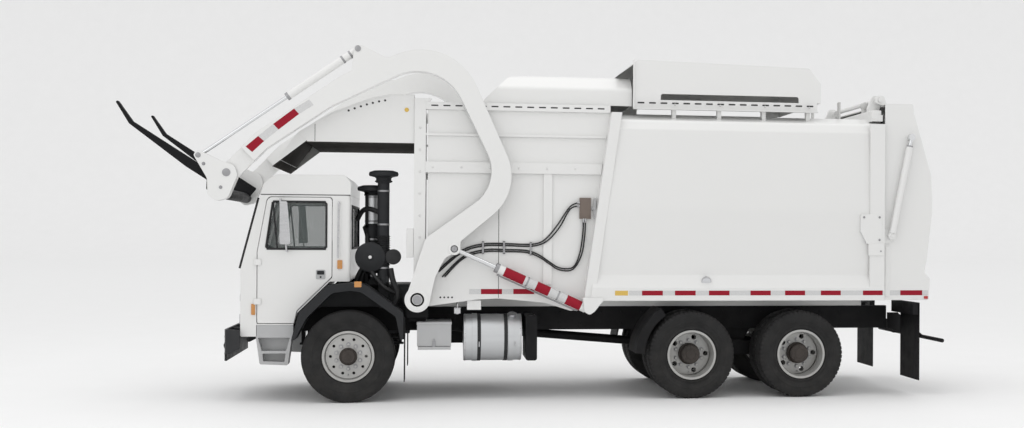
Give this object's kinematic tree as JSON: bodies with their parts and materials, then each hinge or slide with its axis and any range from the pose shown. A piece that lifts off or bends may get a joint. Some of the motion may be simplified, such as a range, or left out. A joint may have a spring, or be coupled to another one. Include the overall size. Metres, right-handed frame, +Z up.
{
  "type": "front loading refuse truck",
  "caption": "Front-loading refuse truck with a flat-fronted cab, lift arms with forks over the cab, an open-top hopper with sliding door, a closed body and a top-hinged tailgate.",
  "frame": {"origin": "on the ground at the middle of the bounding box", "axes": "+X to the tailgate, -X to the cab, -Y to the driver's side, +Z up"},
  "size_m": [9.937, 2.5238, 4.172],
  "materials": {
    "white_paint": "gloss white paint",
    "grey_paint": "worn light grey paint",
    "black_paint": "black chassis paint",
    "charcoal_plastic": "textured charcoal plastic",
    "glass": "tinted safety glass",
    "dash_plastic": "grained dark grey",
    "seat_fabric": "woven dark grey",
    "light_grey_paint": "satin grey paint",
    "cast_iron": "grey painted casting",
    "bright_metal": "brushed steel",
    "aluminium": "satin aluminium",
    "rod_chrome": "hard chrome",
    "rim_steel": "silver painted steel",
    "tyre_rubber": "black tyre rubber",
    "flap_rubber": "matt black rubber",
    "hose_rubber": "black hose rubber"
  },
  "bodies": {
    "truck": {"chassis_frame": "black_paint", "front_bumper": "charcoal_plastic", "cab_shell": "white_paint", "cab_roof": "white_paint", "cab_glass": "glass", "dashboard": "dash_plastic", "seats": "seat_fabric", "cab_steps": "light_grey_paint", "front_fenders": "charcoal_plastic", "engine_block": "cast_iron", "intake_stack": "charcoal_plastic", "exhaust_stack": "charcoal_plastic", "battery_box": "light_grey_paint", "fuel_tank": "aluminium", "side_boxes": "black_paint", "front_axle": "black_paint", "rear_axles": "black_paint", "drive_shaft": "black_paint", "hopper": "white_paint", "body_shell": "white_paint", "body_sills": "white_paint", "canopy": "white_paint", "roof_hood": "white_paint", "rear_bumper": "black_paint", "mud_flaps": "flap_rubber", "hydraulic_lines": "hose_rubber"},
    "packer": {"packer_panel": "grey_paint"},
    "sliding_door": {"top_door": "white_paint"},
    "tailgate": {"tailgate": "white_paint"},
    "tailgate_barrels": {"tailgate_barrels": "white_paint"},
    "tailgate_rods": {"tailgate_rods": "rod_chrome"},
    "lift_arms": {"arm_left": "white_paint", "arm_right": "white_paint", "torque_tube": "grey_paint"},
    "arm_barrels": {"arm_barrels": "white_paint"},
    "arm_rods": {"arm_rods": "rod_chrome"},
    "forks": {"fork_cranks": "white_paint", "fork_blades": "black_paint"},
    "fork_barrels": {"fork_barrels": "white_paint"},
    "fork_rods": {"fork_rods": "rod_chrome"},
    "door_left": {"door_left": "white_paint", "door_glass_left": "glass", "mirror_left": "bright_metal"},
    "door_right": {"door_right": "white_paint", "door_glass_right": "glass", "mirror_right": "bright_metal"},
    "knuckle_left": {"knuckle_left": "black_paint"},
    "knuckle_right": {"knuckle_right": "black_paint"},
    "front_wheel_left": {"front_tyre_left": "tyre_rubber", "front_rim_left": "rim_steel"},
    "front_wheel_right": {"front_tyre_right": "tyre_rubber", "front_rim_right": "rim_steel"},
    "mid_wheels_left": {"mid_tyres_left": "tyre_rubber", "mid_rims_left": "rim_steel"},
    "mid_wheels_right": {"mid_tyres_right": "tyre_rubber", "mid_rims_right": "rim_steel"},
    "rear_wheels_left": {"rear_tyres_left": "tyre_rubber", "rear_rims_left": "rim_steel"},
    "rear_wheels_right": {"rear_tyres_right": "tyre_rubber", "rear_rims_right": "rim_steel"}
  },
  "joints": [
    {"name": "arm_lift", "type": "hinge", "parent": "truck", "child": "lift_arms", "pos_m": [-1.54752, 0, 1.208], "axis": [0, 1, 0], "range_deg": [-44, 40]},
    {"name": "fork_tilt", "type": "hinge", "parent": "lift_arms", "child": "forks", "pos_m": [-3.70852, 0, 2.672], "axis": [0, 1, 0], "range_deg": [-8, 65]},
    {"name": "arm_barrel_swing", "type": "hinge", "parent": "truck", "child": "arm_barrels", "pos_m": [0.48248, 0, 1.083], "axis": [0, 1, 0], "range_deg": [-3, 3]},
    {"name": "arm_rod_slide", "type": "slide", "parent": "arm_barrels", "child": "arm_rods", "axis": [-0.9117, 0, 0.4109], "range_m": [-0.45, 0.5]},
    {"name": "fork_barrel_swing", "type": "hinge", "parent": "lift_arms", "child": "fork_barrels", "pos_m": [-2.24352, 0, 4.13], "axis": [0, 1, 0], "range_deg": [-2, 2]},
    {"name": "fork_rod_slide", "type": "slide", "parent": "fork_barrels", "child": "fork_rods", "axis": [-0.8145, 0, -0.5802], "range_m": [-0.42, 0.07]},
    {"name": "tailgate_lift", "type": "hinge", "parent": "truck", "child": "tailgate", "pos_m": [4.16048, 0, 3.7], "axis": [0, -1, 0], "range_deg": [0, 75]},
    {"name": "tailgate_barrel_swing", "type": "hinge", "parent": "truck", "child": "tailgate_barrels", "pos_m": [4.26048, 0, 1.99], "axis": [0, -1, 0], "range_deg": [-5, 1]},
    {"name": "tailgate_rod_slide", "type": "slide", "parent": "tailgate_barrels", "child": "tailgate_rods", "axis": [0.1992, 0, 0.98], "range_m": [0, 0.75]},
    {"name": "top_door_slide", "type": "slide", "parent": "truck", "child": "sliding_door", "axis": [1, 0, 0], "range_m": [-0.66, 1.5]},
    {"name": "packer_push", "type": "slide", "parent": "truck", "child": "packer", "axis": [1, 0, 0], "range_m": [0, 1.5]},
    {"name": "door_left_open", "type": "hinge", "parent": "truck", "child": "door_left", "pos_m": [-3.41752, -1.003, 1.4], "axis": [0, 0, -1], "range_deg": [0, 70]},
    {"name": "door_right_open", "type": "hinge", "parent": "truck", "child": "door_right", "pos_m": [-3.41752, 1.003, 1.4], "axis": [0, 0, 1], "range_deg": [0, 70]},
    {"name": "steer_left", "type": "hinge", "parent": "truck", "child": "knuckle_left", "pos_m": [-2.33952, -0.88, 0.54], "axis": [0, 0, 1], "range_deg": [-35, 35]},
    {"name": "steer_right", "type": "hinge", "parent": "truck", "child": "knuckle_right", "pos_m": [-2.33952, 0.88, 0.54], "axis": [0, 0, 1], "range_deg": [-35, 35]},
    {"name": "front_wheel_left_roll", "type": "hinge", "parent": "knuckle_left", "child": "front_wheel_left", "pos_m": [-2.33952, -1.025, 0.54], "axis": [0, 1, 0], "continuous": true},
    {"name": "front_wheel_right_roll", "type": "hinge", "parent": "knuckle_right", "child": "front_wheel_right", "pos_m": [-2.33952, 1.025, 0.54], "axis": [0, 1, 0], "continuous": true},
    {"name": "mid_wheels_left_roll", "type": "hinge", "parent": "truck", "child": "mid_wheels_left", "pos_m": [1.74048, -0.91, 0.53], "axis": [0, 1, 0], "continuous": true},
    {"name": "mid_wheels_right_roll", "type": "hinge", "parent": "truck", "child": "mid_wheels_right", "pos_m": [1.74048, 0.91, 0.53], "axis": [0, 1, 0], "continuous": true},
    {"name": "rear_wheels_left_roll", "type": "hinge", "parent": "truck", "child": "rear_wheels_left", "pos_m": [3.11048, -0.91, 0.53], "axis": [0, 1, 0], "continuous": true},
    {"name": "rear_wheels_right_roll", "type": "hinge", "parent": "truck", "child": "rear_wheels_right", "pos_m": [3.11048, 0.91, 0.53], "axis": [0, 1, 0], "continuous": true}
  ],
  "couplings": [
    {"joint": "arm_barrel_swing", "follows": "arm_lift", "ratio": -0.055},
    {"joint": "arm_rod_slide", "follows": "arm_lift", "m_per_rad": -0.6188},
    {"joint": "fork_barrel_swing", "follows": "fork_tilt", "ratio": -0.015},
    {"joint": "fork_rod_slide", "follows": "fork_tilt", "m_per_rad": -0.3552},
    {"joint": "tailgate_barrel_swing", "follows": "tailgate_lift", "ratio": -0.06},
    {"joint": "tailgate_rod_slide", "follows": "tailgate_lift", "m_per_rad": 0.5443},
    {"joint": "steer_right", "follows": "steer_left", "ratio": 1}
  ]
}
